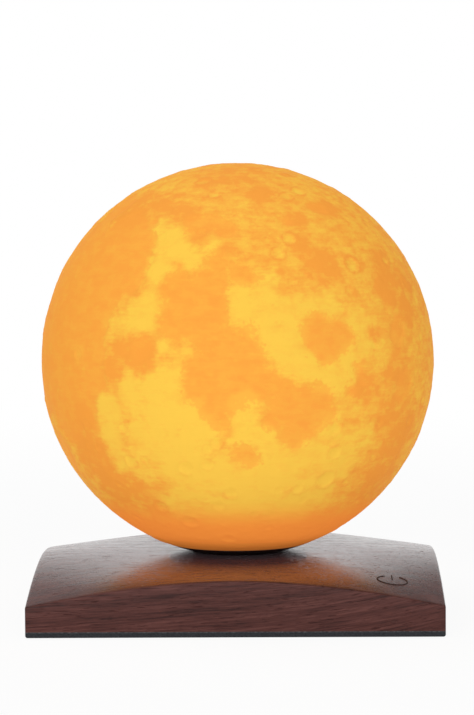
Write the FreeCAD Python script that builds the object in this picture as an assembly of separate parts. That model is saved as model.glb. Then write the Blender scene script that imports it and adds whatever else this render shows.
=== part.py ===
"""Levitating moon lamp: a lit, hollow moon ball that rests on, or floats over, a square walnut base block.

Millimetres. +Z is up, -Y is the front. The origin is the middle of the underside, where the lamp stands.
Each function below makes one sub-part, or one set of like sub-parts, where it sits in the finished lamp.
"""

import FreeCAD, Part

import math
import os

V = FreeCAD.Vector
UP = V(0, 0, 1)
BACK = V(0, 1, 0)
ORIGIN = V(0, 0, 0)

# ---------------------------------------------------------------- driving dimensions

# walnut block, its heights taken above its own underside
base_side = 151.0
centre_height = 19.26  # the flat middle, on which the ball stands
side_height = 18.2  # the middle of each side's arc
corner_height = 9.0  # the four low corners
corner_droop_power = 1.79  # how late the top turns down towards a corner
side_roll_power = 7.0  # how late the top rolls off towards a side
upright_edge_radius = 0.5
top_grid = 17  # points each way that carry the curved top
top_overhang = 2.0  # the curved top is made this much too large, then trimmed

# non-slip pad under the block
pad_thickness = 2.2
pad_edge_radius = 0.9

# closure plate in its rebate, and its screws
plate_margin = 6.5  # wood left round the rebate
plate_corner_radius = 8.0
plate_thickness = 1.6
plate_gap = 0.3
plate_screw_inset = 5.0  # from the plate's edge to a screw
plate_screw_spacing = 42.0
plate_screw_radius = 1.4
plate_screw_head_radius = 2.8
plate_screw_head_height = 1.3
plate_screw_length = 7.0

# pockets milled into the block from below
pocket_wall = 18.5  # from the module's pocket to a side face
pocket_roof = 3.8  # wood left over the module
rear_wall = 6.0  # wood left behind the inlet

# levitation module
module_gap = 0.5  # between module and pocket
fit_gap = 0.2  # between pieces that slide together by hand
chip_space = 2.3  # between closure plate and control board
board_thickness = 1.6
frame_plate = 1.2
frame_wall = 1.4
ear_count = 4
ear_width = 12.0
ear_reach = 4.5  # from the module's rim to an ear's screw
ear_thickness = 1.6
module_screw_radius = 1.5
module_screw_head_radius = 2.6
module_screw_head_height = 1.8
module_screw_length = 8.0
ring_magnet_width = 11.0
coil_to_wall = 4.3  # from a bobbin to the frame's inner wall
coil_count = 4
coil_gap = 16.18  # between neighbouring bobbins, where capacitors and inductors stand
bobbin_flange = 0.8
bobbin_tube_wall = 1.0
winding_inset = 0.5
core_radius = 3.0
boss_to_wall = 1.0  # from a boss to the frame's inner wall
boss_radius = 2.8
board_screw_radius = 1.2
board_screw_head_radius = 2.2
board_screw_head_height = 1.5
board_screw_length = 5.5
sensor_board_side = 13.0
sensor_board_thickness = 1.0
sensor_headroom = 2.2  # between sensor board and frame plate
sensor_size = V(4.0, 3.0, 1.5)
sensor_circle = 4.2
sensor_count = 3
sensor_turn = 90.0  # degrees
header_pin_radius = 0.32
header_pin_pitch = 2.54
header_pin_count = 4
header_pin_inset = 1.5
parts_inset = 3.0  # capacitors and inductors stand this much nearer the middle than the coils
capacitor_radius = 4.0
inductor_radius = 4.5
inductor_height = 4.5
control_chip_size = V(9.0, 9.0, 1.4)
driver_chip_size = V(5.0, 4.0, 1.6)
driver_chip_outset = 4.0  # from the coils' circle outwards
driver_chip_count = 4
transmitter_inset = 14.5  # from the module's rim
transmitter_width = 24.0
transmitter_thickness = 1.0
transmitter_gap = 0.3  # under the pocket roof

# touch sensor under the front right corner
touch_inset = 18.5  # from both side faces
touch_pocket_radius = 8.0
touch_roof = 3.0
touch_gap = 0.5
electrode_thickness = 0.3
electrode_inset = 0.7
touch_board_thickness = 1.0
touch_chip_size = V(3.0, 3.0, 1.0)
lead_radius = 0.6
solder_gap = 0.05  # between a lead and the underside of its board
lead_bend = 2.0
lead_landing = 4.0  # how far inside its edge a lead meets the control board
touch_lead_offset = 3.8  # beside the diagonal, clear of the ear screw

# DC inlet in the back wall
inlet_nose_radius = 5.0
inlet_nose_gap = 0.2
inlet_recess = 0.8  # the nose stops this far inside the back face
inlet_body_width = 9.4
inlet_body_gap = 0.3
socket_radius = 2.8
socket_depth = 9.5
socket_pin_radius = 1.05
socket_pin_length = 9.0
contact_width = 2.0
contact_thickness = 0.3
inlet_lead_spacing = 5.0

# moon ball
moon_radius = 75.0
shell_wall = 2.0
foot_radius = 16.2  # the flat on which the ball stands
rest_gap = 0.05  # hair gap between two bodies that stand on each other
cap_radius = 26.5
cap_gap = 0.2
cap_floor = 1.4
cap_wall = 1.2
cap_rim_width = 4.8  # the rim takes the screws, outside the cup
cup_height = 11.5
glue_gap = 0.1
collar_overlap = 6.3  # of the collar on the shell's inner wall
collar_lip = 2.2  # of its outer edge over the shell's inner wall
collar_gap = 0.3
cap_screw_count = 3
cap_screw_turn = 90.0  # degrees
cap_screw_radius = 1.0
cap_screw_head_radius = 1.5
cap_screw_head_height = 1.2
cap_screw_web = 1.3  # of the cap's rim under the screw head
cap_screw_length = 4.6
magnet_thickness = 8.0
running_gap = 0.1
magnet_rib_wall = 0.7
coil_ledge = 1.3  # over the cup's floor
receiver_coil_width = 2.3
receiver_coil_height = 4.5
lid_thickness = 1.0
lid_peg_count = 3
lid_peg_inset = 4.5  # from the receiver board's edge
lid_peg_turn = 30.0  # degrees
lid_peg_radius = 1.2
lid_peg_height = 1.8
receiver_board_gap = 1.0  # between the board's edge and the stand
receiver_board_thickness = 1.0
receiver_chip_size = V(5.0, 4.0, 1.6)
receiver_part_inset = 7.0  # from the receiver board's edge
receiver_part_count = 4  # chip, choke and two capacitors
receiver_capacitor_radius = 2.5
receiver_capacitor_height = 5.0
choke_radius = 3.2
choke_height = 3.0
stand_flange_width = 1.3
stand_wall = 1.5
stand_flange_thickness = 1.4
stand_height = 14.0
led_board_inset = 1.5
led_board_thickness = 1.6
led_inset = 5.0  # from the LED board's edge
led_count = 6  # of each white
led_size = V(3.5, 2.8, 0.8)
led_screw_count = 2
led_screw_circle = 6.0
led_screw_radius = 1.0
led_screw_head_radius = 1.8
led_screw_head_height = 1.1
led_screw_length = 5.0
led_lead_spacing = 4.0
led_lead_radius = 0.5

# ---------------------------------------------------------------- derived places

half_side = base_side / 2
diagonal = 45.0  # degrees from +X
block_bottom = pad_thickness
block_top = block_bottom + centre_height

plate_side = base_side - 2 * plate_margin
plate_top = block_bottom + plate_thickness
pocket_radius = half_side - pocket_wall
board_bottom = plate_top + chip_space
board_top = board_bottom + board_thickness
roof = block_top - pocket_roof
frame_top = roof - transmitter_gap - transmitter_thickness
frame_under = frame_top - frame_plate
module_radius = pocket_radius - module_gap
skirt_inner = module_radius - frame_wall
ring_magnet_outer = skirt_inner - fit_gap
ring_magnet_inner = ring_magnet_outer - ring_magnet_width
inner_wall_outer = ring_magnet_inner - fit_gap
inner_wall_inner = inner_wall_outer - frame_wall
boss_circle = inner_wall_inner - boss_to_wall - boss_radius
coil_reach = inner_wall_inner - coil_to_wall
coil_spread = 2 * math.sin(math.pi / coil_count)  # step between coils on a circle of radius 1
bobbin_radius = (coil_reach * coil_spread - coil_gap) / (2 + coil_spread)
coil_circle = coil_reach - bobbin_radius
parts_circle = coil_circle - parts_inset
driver_chip_circle = coil_circle + driver_chip_outset
ear_screw_circle = module_radius + ear_reach
transmitter_outer = module_radius - transmitter_inset
transmitter_inner = transmitter_outer - transmitter_width
touch_centre = half_side - touch_inset
ear_top = board_top + ear_thickness
sensor_board_top = frame_under - sensor_headroom
lead_z = board_bottom - solder_gap - lead_radius
inlet_z = lead_z - lead_radius + inlet_body_width / 2
inlet_back = half_side - rear_wall
inlet_body_length = inlet_back - pocket_radius - inlet_body_gap
nose_end = half_side - inlet_recess

foot_z = block_top + rest_gap
moon_centre_z = foot_z + math.sqrt(moon_radius**2 - foot_radius**2)
opening_radius = cap_radius + cap_gap
inner_radius = moon_radius - shell_wall
rim_z = moon_centre_z - math.sqrt((inner_radius - glue_gap) ** 2 - opening_radius**2)
cup_floor_z = foot_z + cap_floor
magnet_z = cup_floor_z + rest_gap
magnet_top = magnet_z + magnet_thickness
cup_outer = cap_radius - cap_rim_width
cup_inner = cup_outer - cap_wall
receiver_outer = cup_inner - fit_gap
receiver_inner = receiver_outer - receiver_coil_width
rib_outer = receiver_inner - fit_gap
pocket_in_cap = rib_outer - magnet_rib_wall
magnet_radius = pocket_in_cap - running_gap
cap_screw_circle = (cup_outer + cap_radius) / 2
collar_radius = opening_radius + collar_overlap
ledge_z = cup_floor_z + coil_ledge
lid_z = magnet_top + running_gap
stand_z = lid_z + lid_thickness
stand_top = stand_z + stand_height
stand_radius = cup_inner - fit_gap - stand_flange_width
receiver_board_radius = stand_radius - stand_wall - receiver_board_gap
receiver_part_circle = receiver_board_radius - receiver_part_inset
lid_peg_circle = receiver_board_radius - lid_peg_inset
receiver_board_z = stand_z + lid_peg_height
receiver_board_top = receiver_board_z + receiver_board_thickness
led_board_radius = stand_radius - led_board_inset
led_board_top = stand_top + led_board_thickness
led_circle = led_board_radius - led_inset

# ---------------------------------------------------------------- helpers


def cylinder(radius, low, high, x=0.0, y=0.0):
    return Part.makeCylinder(radius, high - low, V(x, y, low), UP)


def ring(inner, outer, low, high):
    return cylinder(outer, low, high).cut(cylinder(inner, low, high))


def block(size_x, size_y, low, high, x=0.0, y=0.0):
    return Part.makeBox(size_x, size_y, high - low, V(x - size_x / 2, y - size_y / 2, low))


def rounded_block(size, radius, low, high):
    plain = block(size, size, low, high)
    return plain.makeFillet(radius, [e for e in plain.Edges if is_upright(e)])


def chip(size, low, x=0.0, y=0.0):
    return block(size.x, size.y, low, low + size.z, x, y)


def is_upright(edge):
    bounds = edge.BoundBox
    return bounds.ZLength > bounds.XLength + bounds.YLength


def around(count, radius, start=0.0):
    """Places (x, y, angle in degrees) on a circle about the lamp's axis, from a start in degrees off +X."""
    places = []
    for number in range(count):
        angle = start + 360.0 * number / count
        turn = math.radians(angle)
        places.append((radius * math.cos(turn), radius * math.sin(turn), angle))
    return places


def turned(shape, angle):
    copy = shape.copy()
    copy.rotate(ORIGIN, UP, angle)
    return copy


def joined(shapes):
    whole = shapes[0].multiFuse(shapes[1:]) if len(shapes) > 1 else shapes[0]
    return whole.removeSplitter()


def revolved(outline):
    """A solid of revolution from edges in the XZ plane, closed along the axis or by its own last edge."""
    face = Part.Face(Part.Wire(outline))
    return face.revolve(ORIGIN, UP, 360)


def line(first, last):
    return Part.LineSegment(V(first[0], 0, first[1]), V(last[0], 0, last[1])).toShape()


def polygon(points):
    return [line(a, b) for a, b in zip(points, points[1:] + points[:1])]


def ball_z(radius, reach):
    """Height of the lower half of a ball of this radius about the moon's centre, at this distance from the axis."""
    return moon_centre_z - math.sqrt(radius**2 - reach**2)


def ball_arc(radius, first, last):
    """Arc along the lower half of the ball, between two distances from the axis."""
    middle = (first + last) / 2
    points = [V(reach, 0, ball_z(radius, reach)) for reach in (first, middle, last)]
    return Part.Arc(*points).toShape()


def pan_screw(x, y, seat, head_radius, head_height, radius, length):
    """Screw driven upwards: its head hangs under the seat."""
    head = cylinder(head_radius, seat - head_height, seat, x, y)
    return joined([head, cylinder(radius, seat, seat + length, x, y)])


def bent_lead(points, radius, bend):
    """Round wire along straight runs with tangent arcs between them."""
    edges = []
    start = points[0]
    for before, corner, after in zip(points, points[1:], points[2:]):
        inward = (before - corner).normalize()
        onward = (after - corner).normalize()
        half = inward.getAngle(onward) / 2
        reach = bend / math.tan(half)
        enter = corner + inward * reach
        leave = corner + onward * reach
        heart = corner + (inward + onward).normalize() * (bend / math.sin(half))
        deepest = heart + (corner - heart).normalize() * bend
        edges.append(Part.LineSegment(start, enter).toShape())
        edges.append(Part.Arc(enter, deepest, leave).toShape())
        start = leave
    edges.append(Part.LineSegment(start, points[-1]).toShape())
    path = Part.Wire(edges)
    section = Part.Wire(Part.makeCircle(radius, points[0], points[1] - points[0]))
    return path.makePipeShell([section], True, False)


# ---------------------------------------------------------------- base


def top_height(x, y):
    """Height of the curved top: flat in the middle, rolled off at the sides, drooping to the corners."""
    across = abs(x) / half_side
    along = abs(y) / half_side
    product = across * along
    roll = across**side_roll_power + along**side_roll_power - product**side_roll_power
    droop = product**corner_droop_power
    fall = (centre_height - side_height) * roll + (side_height - corner_height) * droop
    return block_top - fall


def curved_top():
    reach = half_side + top_overhang
    steps = [reach * (2 * number / (top_grid - 1) - 1) for number in range(top_grid)]
    surface = Part.BSplineSurface()
    surface.interpolate([[V(x, y, top_height(x, y)) for y in steps] for x in steps])
    return surface.toShape().extrude(V(0, 0, -2 * block_top))


def plate_screw_places():
    reach = plate_side / 2 - plate_screw_inset
    rows = [-plate_screw_spacing, 0.0, plate_screw_spacing]
    return [(side * reach, row) for side in (-1, 1) for row in rows]


def ear(outer_width, low, high):
    """Lug that reaches along +X from the module to its screw, with a round end."""
    bar = block(ear_screw_circle - coil_circle, outer_width, low, high, (ear_screw_circle + coil_circle) / 2)
    return bar.fuse(cylinder(outer_width / 2, low, high, ear_screw_circle))


def ear_places(radius):
    return around(ear_count, radius, 180.0 / ear_count)


def touch_place():
    return touch_centre, -touch_centre


def touch_roof_z():
    outermost = touch_centre + touch_pocket_radius * math.cos(math.radians(diagonal))
    return top_height(outermost, outermost) - touch_roof


def module_pocket():
    cuts = [cylinder(pocket_radius, block_bottom, roof)]
    for x, y, angle in ear_places(ear_screw_circle):
        cuts.append(turned(ear(ear_width + 2 * module_gap, block_bottom, ear_top), angle))
    for x, y, angle in ear_places(ear_screw_circle):
        cuts.append(cylinder(module_screw_radius, ear_top, ear_top + module_screw_length, x, y))
    return cuts


def touch_pocket():
    x, y = touch_place()
    far = math.hypot(x, y)
    channel = block(far - coil_circle, ear_width, block_bottom, board_top, (far + coil_circle) / 2)
    return [
        cylinder(touch_pocket_radius, block_bottom, touch_roof_z(), x, y),
        turned(channel, -diagonal),
    ]


def inlet_pocket():
    width = inlet_body_width + 2 * inlet_body_gap
    reach = inlet_back - coil_circle
    top = inlet_z + width / 2
    nose_hole = Part.makeCylinder(
        inlet_nose_radius + inlet_nose_gap, rear_wall + top_overhang, V(0, inlet_back, inlet_z), BACK
    )
    return [block(width, reach, block_bottom, top, 0.0, inlet_back - reach / 2), nose_hole]


def walnut_body():
    body = block(base_side, base_side, block_bottom, 2 * block_top)
    body = body.makeFillet(upright_edge_radius, [e for e in body.Edges if is_upright(e)])
    body = body.common(curved_top())
    cuts = module_pocket() + touch_pocket() + inlet_pocket()
    cuts.append(rounded_block(plate_side + 2 * plate_gap, plate_corner_radius, block_bottom, plate_top))
    for x, y in plate_screw_places():
        cuts.append(cylinder(plate_screw_radius, plate_top, block_bottom + plate_screw_length, x, y))
    return body.cut(cuts)


def base_pad():
    pad = block(base_side, base_side, 0.0, pad_thickness)
    pad = pad.makeFillet(upright_edge_radius, [e for e in pad.Edges if is_upright(e)])
    bottom = [e for e in pad.Edges if e.BoundBox.ZMax < pad_thickness / 2]
    return pad.makeFillet(pad_edge_radius, bottom)


def bottom_plate():
    plate = rounded_block(plate_side, plate_corner_radius, block_bottom, plate_top)
    holes = []
    for x, y in plate_screw_places():
        holes.append(cylinder(plate_screw_radius + fit_gap, block_bottom, plate_top, x, y))
        holes.append(
            Part.makeCone(
                plate_screw_head_radius + fit_gap,
                plate_screw_radius + fit_gap,
                plate_screw_head_height,
                V(x, y, block_bottom),
                UP,
            )
        )
    return plate.cut(holes)


def plate_screws():
    screws = []
    for x, y in plate_screw_places():
        head = Part.makeCone(
            plate_screw_head_radius, plate_screw_radius, plate_screw_head_height, V(x, y, block_bottom), UP
        )
        shank = cylinder(plate_screw_radius, block_bottom, block_bottom + plate_screw_length, x, y)
        screws.append(joined([head, shank]))
    return Part.makeCompound(screws)


# ---------------------------------------------------------------- levitation module


def module_frame():
    """Moulded frame: top plate, outer skirt, inner wall of the magnet's channel, screw bosses and four ears."""
    pieces = [
        cylinder(module_radius, frame_under, frame_top),
        ring(skirt_inner, module_radius, board_top, frame_under),
        ring(inner_wall_inner, inner_wall_outer, board_top, frame_under),
    ]
    for x, y, angle in ear_places(boss_circle):
        pieces.append(cylinder(boss_radius, board_top, frame_under, x, y))
    for x, y, angle in ear_places(ear_screw_circle):
        lug = ear(ear_width, board_top, ear_top).cut(cylinder(module_radius - frame_wall / 2, board_top, ear_top))
        pieces.append(turned(lug, angle))
    frame = joined(pieces)
    holes = []
    for x, y, angle in ear_places(ear_screw_circle):
        holes.append(cylinder(module_screw_radius + fit_gap, board_top, ear_top, x, y))
    for x, y, angle in ear_places(boss_circle):
        holes.append(cylinder(board_screw_radius, board_top, board_bottom + board_screw_length, x, y))
    return frame.cut(holes)


def module_screws():
    screws = []
    for x, y, angle in ear_places(ear_screw_circle):
        screws.append(
            pan_screw(
                x,
                y,
                board_top,
                module_screw_head_radius,
                module_screw_head_height,
                module_screw_radius,
                ear_thickness + module_screw_length,
            )
        )
    return Part.makeCompound(screws)


def ring_magnet():
    return ring(ring_magnet_inner, ring_magnet_outer, board_top, frame_under)


def coil_bobbin(x, y):
    tube_radius = core_radius + fit_gap + bobbin_tube_wall
    spool = joined(
        [
            cylinder(bobbin_radius, board_top, board_top + bobbin_flange, x, y),
            cylinder(tube_radius, board_top, frame_under, x, y),
            cylinder(bobbin_radius, frame_under - bobbin_flange, frame_under, x, y),
        ]
    )
    return spool.cut(cylinder(core_radius + fit_gap, board_top, frame_under, x, y))


def coil_winding(x, y):
    low = board_top + bobbin_flange
    high = frame_under - bobbin_flange
    outside = cylinder(bobbin_radius - winding_inset, low, high, x, y)
    return outside.cut(cylinder(core_radius + fit_gap + bobbin_tube_wall, low, high, x, y))


def coil_core(x, y):
    return cylinder(core_radius, board_top, frame_under, x, y)


def control_board():
    board = cylinder(module_radius, board_bottom, board_top)
    holes = []
    for x, y, angle in ear_places(boss_circle):
        holes.append(cylinder(board_screw_radius + fit_gap, board_bottom, board_top, x, y))
    return board.cut(holes)


def board_screws():
    screws = []
    for x, y, angle in ear_places(boss_circle):
        screws.append(
            pan_screw(
                x,
                y,
                board_bottom,
                board_screw_head_radius,
                board_screw_head_height,
                board_screw_radius,
                board_screw_length,
            )
        )
    return Part.makeCompound(screws)


def sensor_board():
    return block(
        sensor_board_side, sensor_board_side, sensor_board_top - sensor_board_thickness, sensor_board_top
    )


def position_sensors():
    shapes = []
    for x, y, angle in around(sensor_count, sensor_circle, sensor_turn):
        shapes.append(chip(sensor_size, sensor_board_top, x, y))
    return Part.makeCompound(shapes)


def header_pins():
    shapes = []
    row = -sensor_board_side / 2 + header_pin_inset
    for number in range(header_pin_count):
        x = (number - (header_pin_count - 1) / 2) * header_pin_pitch
        low, high = board_top, sensor_board_top - sensor_board_thickness
        shapes.append(cylinder(header_pin_radius, low, high, x, row))
    return Part.makeCompound(shapes)


def board_parts():
    """A capacitor or an inductor stands in each gap between two coils."""
    parts = {}
    for number, (x, y, angle) in enumerate(around(coil_count, parts_circle, 180.0 / coil_count)):
        name_number = number // 2 + 1
        if number % 2 == 0:
            top = frame_under - module_gap
            parts[f"capacitor_{name_number}"] = cylinder(capacitor_radius, board_top, top, x, y)
        else:
            top = board_top + inductor_height
            parts[f"inductor_{name_number}"] = cylinder(inductor_radius, board_top, top, x, y)
    return parts


def control_chip():
    return chip(control_chip_size, board_bottom - control_chip_size.z)


def driver_chips():
    shapes = []
    for x, y, angle in around(driver_chip_count, driver_chip_circle):
        shapes.append(chip(driver_chip_size, board_bottom - driver_chip_size.z, x, y))
    return Part.makeCompound(shapes)


def transmitter_coil():
    return ring(transmitter_inner, transmitter_outer, frame_top, frame_top + transmitter_thickness)


# ---------------------------------------------------------------- touch sensor


def touch_electrode():
    x, y = touch_place()
    radius = touch_pocket_radius - touch_gap - electrode_inset
    return cylinder(radius, touch_roof_z() - electrode_thickness, touch_roof_z(), x, y)


def touch_board():
    x, y = touch_place()
    top = touch_roof_z() - electrode_thickness
    return cylinder(touch_pocket_radius - touch_gap, top - touch_board_thickness, top, x, y)


def touch_chip():
    x, y = touch_place()
    board_under = touch_roof_z() - electrode_thickness - touch_board_thickness
    return chip(touch_chip_size, board_under - touch_chip_size.z, x, y)


def touch_lead():
    x, y = touch_place()
    far = math.hypot(x, y)
    near = module_radius - lead_landing
    start = touch_roof_z() - electrode_thickness - touch_board_thickness
    points = [
        V(far, touch_lead_offset, start),
        V(far, touch_lead_offset, lead_z),
        V(near, touch_lead_offset, lead_z),
    ]
    lead = bent_lead(points, lead_radius, lead_bend)
    return turned(lead, -diagonal)


# ---------------------------------------------------------------- DC inlet


def inlet_housing():
    """Square body inside the block with a round nose in the back wall, bored for a barrel plug."""
    low = inlet_z - inlet_body_width / 2
    body = block(
        inlet_body_width,
        inlet_body_length,
        low,
        low + inlet_body_width,
        0.0,
        inlet_back - inlet_body_length / 2,
    )
    nose = Part.makeCylinder(inlet_nose_radius, nose_end - inlet_back, V(0, inlet_back, inlet_z), BACK)
    socket = Part.makeCylinder(socket_radius, socket_depth, V(0, nose_end - socket_depth, inlet_z), BACK)
    slot_low = inlet_z + socket_radius - contact_thickness
    slot = block(
        contact_width,
        socket_depth,
        slot_low,
        slot_low + 2 * contact_thickness,
        0.0,
        nose_end - socket_depth / 2 - inlet_recess,
    )
    return joined([body, nose]).cut([socket, slot])


def inlet_pin():
    start = nose_end - socket_depth
    return Part.makeCylinder(socket_pin_radius, socket_pin_length, V(0, start, inlet_z), BACK)


def inlet_contact():
    """Leaf that presses on the plug's barrel, in a slot in the socket's roof."""
    low = inlet_z + socket_radius - contact_thickness / 2
    middle = nose_end - socket_depth / 2 - inlet_recess
    length = socket_depth - 2 * inlet_recess
    return block(contact_width - fit_gap, length, low, low + contact_thickness, 0.0, middle)


def inlet_leads():
    back = inlet_back - inlet_body_length
    shapes = []
    for side in (-1, 1):
        x = side * inlet_lead_spacing / 2
        length = back - (module_radius - lead_landing)
        shapes.append(Part.makeCylinder(lead_radius, length, V(x, back, lead_z), -BACK))
    return Part.makeCompound(shapes)


# ---------------------------------------------------------------- moon ball


def moon_shell():
    centre = V(0, 0, moon_centre_z)
    hollow = Part.makeSphere(moon_radius, centre).cut(Part.makeSphere(inner_radius, centre))
    return hollow.cut(cylinder(opening_radius, foot_z - shell_wall, moon_centre_z))


def cap_screw_places():
    return around(cap_screw_count, cap_screw_circle, cap_screw_turn)


def shell_collar():
    """Ring glued round the opening inside the shell; its underside follows the shell's inner wall."""
    glue_ball = inner_radius - glue_gap
    inner = cup_outer + collar_gap
    top = ball_z(glue_ball, collar_radius) + collar_lip
    outline = [
        line((inner, rim_z), (opening_radius, rim_z)),
        ball_arc(glue_ball, opening_radius, collar_radius),
        line((collar_radius, ball_z(glue_ball, collar_radius)), (collar_radius, top)),
        line((collar_radius, top), (inner, top)),
        line((inner, top), (inner, rim_z)),
    ]
    collar = revolved(outline)
    holes = []
    for x, y, angle in cap_screw_places():
        holes.append(cylinder(cap_screw_radius, rim_z, rim_z - cap_screw_web + cap_screw_length, x, y))
    return collar.cut(holes)


def foot_cap():
    """Dark cap that carries the ball on its flat, with a cup for the magnet and the receiver coil."""
    cup_top = ledge_z + cup_height
    outline = [
        line((0, foot_z), (foot_radius, foot_z)),
        ball_arc(moon_radius, foot_radius, cap_radius),
        line((cap_radius, ball_z(moon_radius, cap_radius)), (cap_radius, rim_z)),
        line((cap_radius, rim_z), (cup_outer, rim_z)),
        line((cup_outer, rim_z), (cup_outer, cup_top)),
        line((cup_outer, cup_top), (cup_inner, cup_top)),
        line((cup_inner, cup_top), (cup_inner, ledge_z)),
        line((cup_inner, ledge_z), (rib_outer, ledge_z)),
        line((rib_outer, ledge_z), (rib_outer, lid_z)),
        line((rib_outer, lid_z), (pocket_in_cap, lid_z)),
        line((pocket_in_cap, lid_z), (pocket_in_cap, cup_floor_z)),
        line((pocket_in_cap, cup_floor_z), (0, cup_floor_z)),
        line((0, cup_floor_z), (0, foot_z)),
    ]
    cap = revolved(outline)
    holes = []
    for x, y, angle in cap_screw_places():
        holes.append(cylinder(cap_screw_radius + fit_gap, foot_z, rim_z, x, y))
        holes.append(cylinder(cap_screw_head_radius + fit_gap, foot_z, rim_z - cap_screw_web, x, y))
    return cap.cut(holes)


def cap_screws():
    screws = []
    for x, y, angle in cap_screw_places():
        screws.append(
            pan_screw(
                x,
                y,
                rim_z - cap_screw_web,
                cap_screw_head_radius,
                cap_screw_head_height,
                cap_screw_radius,
                cap_screw_length,
            )
        )
    return Part.makeCompound(screws)


def floating_magnet():
    return cylinder(magnet_radius, magnet_z, magnet_top)


def receiver_coil():
    return ring(receiver_inner, receiver_outer, ledge_z, ledge_z + receiver_coil_height)


def magnet_lid():
    pieces = [cylinder(cup_inner - fit_gap, lid_z, stand_z)]
    for x, y, angle in around(lid_peg_count, lid_peg_circle, lid_peg_turn):
        pieces.append(cylinder(lid_peg_radius, stand_z, receiver_board_z, x, y))
    return joined(pieces)


def lamp_stand():
    """White post bonded into the cup; the LED board lies on its top."""
    inner = stand_radius - stand_wall
    outline = polygon(
        [
            (inner, stand_z),
            (cup_inner - fit_gap, stand_z),
            (cup_inner - fit_gap, stand_z + stand_flange_thickness),
            (stand_radius, stand_z + stand_flange_thickness),
            (stand_radius, stand_top),
            (0, stand_top),
            (0, stand_top - stand_wall),
            (inner, stand_top - stand_wall),
        ]
    )
    post = revolved(outline)
    holes = []
    for x, y, angle in around(led_screw_count, led_screw_circle):
        holes.append(cylinder(led_screw_radius, stand_top - stand_wall, stand_top, x, y))
    for y in led_lead_rows():
        holes.append(cylinder(led_lead_radius + fit_gap, stand_top - stand_wall, stand_top, 0.0, y))
    return post.cut(holes)


def led_lead_rows():
    return -led_lead_spacing / 2, led_lead_spacing / 2


def led_leads():
    """Two wires from the receiver board, through the stand's top, to the LED board."""
    wires = [cylinder(led_lead_radius, receiver_board_top, stand_top, 0.0, y) for y in led_lead_rows()]
    return Part.makeCompound(wires)


def receiver_board():
    return cylinder(receiver_board_radius, receiver_board_z, receiver_board_top)


def receiver_parts():
    """Rectifier chip, choke and two capacitors on the receiver board."""
    places = around(receiver_part_count, receiver_part_circle, diagonal)
    chip_place, choke_place, first_place, second_place = places
    parts = {
        "receiver_chip": chip(receiver_chip_size, receiver_board_top, chip_place[0], chip_place[1]),
        "receiver_choke": cylinder(
            choke_radius, receiver_board_top, receiver_board_top + choke_height, choke_place[0], choke_place[1]
        ),
    }
    for number, place in enumerate((first_place, second_place), 1):
        top = receiver_board_top + receiver_capacitor_height
        parts[f"receiver_capacitor_{number}"] = cylinder(
            receiver_capacitor_radius, receiver_board_top, top, place[0], place[1]
        )
    return parts


def led_board():
    board = cylinder(led_board_radius, stand_top, led_board_top)
    holes = []
    for x, y, angle in around(led_screw_count, led_screw_circle):
        holes.append(cylinder(led_screw_radius + fit_gap, stand_top, led_board_top, x, y))
    return board.cut(holes)


def leds(start):
    shapes = []
    for x, y, angle in around(led_count, led_circle, start):
        package = chip(led_size, led_board_top, led_circle)
        shapes.append(turned(package, angle))
    return Part.makeCompound(shapes)


def led_screws():
    screws = []
    for x, y, angle in around(led_screw_count, led_screw_circle):
        head = cylinder(led_screw_head_radius, led_board_top, led_board_top + led_screw_head_height, x, y)
        shank = cylinder(led_screw_radius, led_board_top - led_screw_length, led_board_top, x, y)
        screws.append(joined([head, shank]))
    return Part.makeCompound(screws)


# ---------------------------------------------------------------- all nodes


def lamp_nodes():
    nodes = {
        "walnut_body": walnut_body(),
        "base_pad": base_pad(),
        "bottom_plate": bottom_plate(),
        "plate_screws": plate_screws(),
        "module_frame": module_frame(),
        "module_screws": module_screws(),
        "ring_magnet": ring_magnet(),
        "control_board": control_board(),
        "board_screws": board_screws(),
        "sensor_board": sensor_board(),
        "position_sensors": position_sensors(),
        "header_pins": header_pins(),
        "control_chip": control_chip(),
        "driver_chips": driver_chips(),
        "transmitter_coil": transmitter_coil(),
        "touch_electrode": touch_electrode(),
        "touch_board": touch_board(),
        "touch_chip": touch_chip(),
        "touch_lead": touch_lead(),
        "inlet_housing": inlet_housing(),
        "inlet_pin": inlet_pin(),
        "inlet_contact": inlet_contact(),
        "inlet_leads": inlet_leads(),
        "moon_shell": moon_shell(),
        "shell_collar": shell_collar(),
        "foot_cap": foot_cap(),
        "cap_screws": cap_screws(),
        "floating_magnet": floating_magnet(),
        "receiver_coil": receiver_coil(),
        "magnet_lid": magnet_lid(),
        "lamp_stand": lamp_stand(),
        "receiver_board": receiver_board(),
        "led_board": led_board(),
        "warm_leds": leds(0.0),
        "white_leds": leds(180.0 / led_count),
        "led_screws": led_screws(),
        "led_leads": led_leads(),
    }
    nodes.update(board_parts())
    nodes.update(receiver_parts())
    for number, (x, y, angle) in enumerate(around(coil_count, coil_circle), 1):
        nodes[f"coil_bobbin_{number}"] = coil_bobbin(x, y)
        nodes[f"coil_winding_{number}"] = coil_winding(x, y)
        nodes[f"coil_core_{number}"] = coil_core(x, y)
    return nodes


def main():
    os.makedirs("parts", exist_ok=True)
    for name, shape in lamp_nodes().items():
        bad = [solid for solid in shape.Solids if not solid.isValid() or not solid.isClosed()]
        if bad or not shape.Solids:
            raise RuntimeError(f"{name} isn't made of valid closed solids")
        shape.exportStep(f"parts/{name}.step")
        print(name, len(shape.Solids), "solids", round(shape.Volume), "mm3")


main()
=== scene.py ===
"""Dresses the moon lamp's CAD frame: the walnut block, the printed moon ball, the mark over the touch sensor,
the finishes of every CAD piece, and a plain pale stage with soft light.

Metres. +Z is up, -Y is the front. Sizes come from the frame where it has them.
"""

import math

import bmesh
import bpy
from bpy.props import FloatProperty, FloatVectorProperty, IntProperty, PointerProperty
from mathutils import Matrix, Vector


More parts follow.
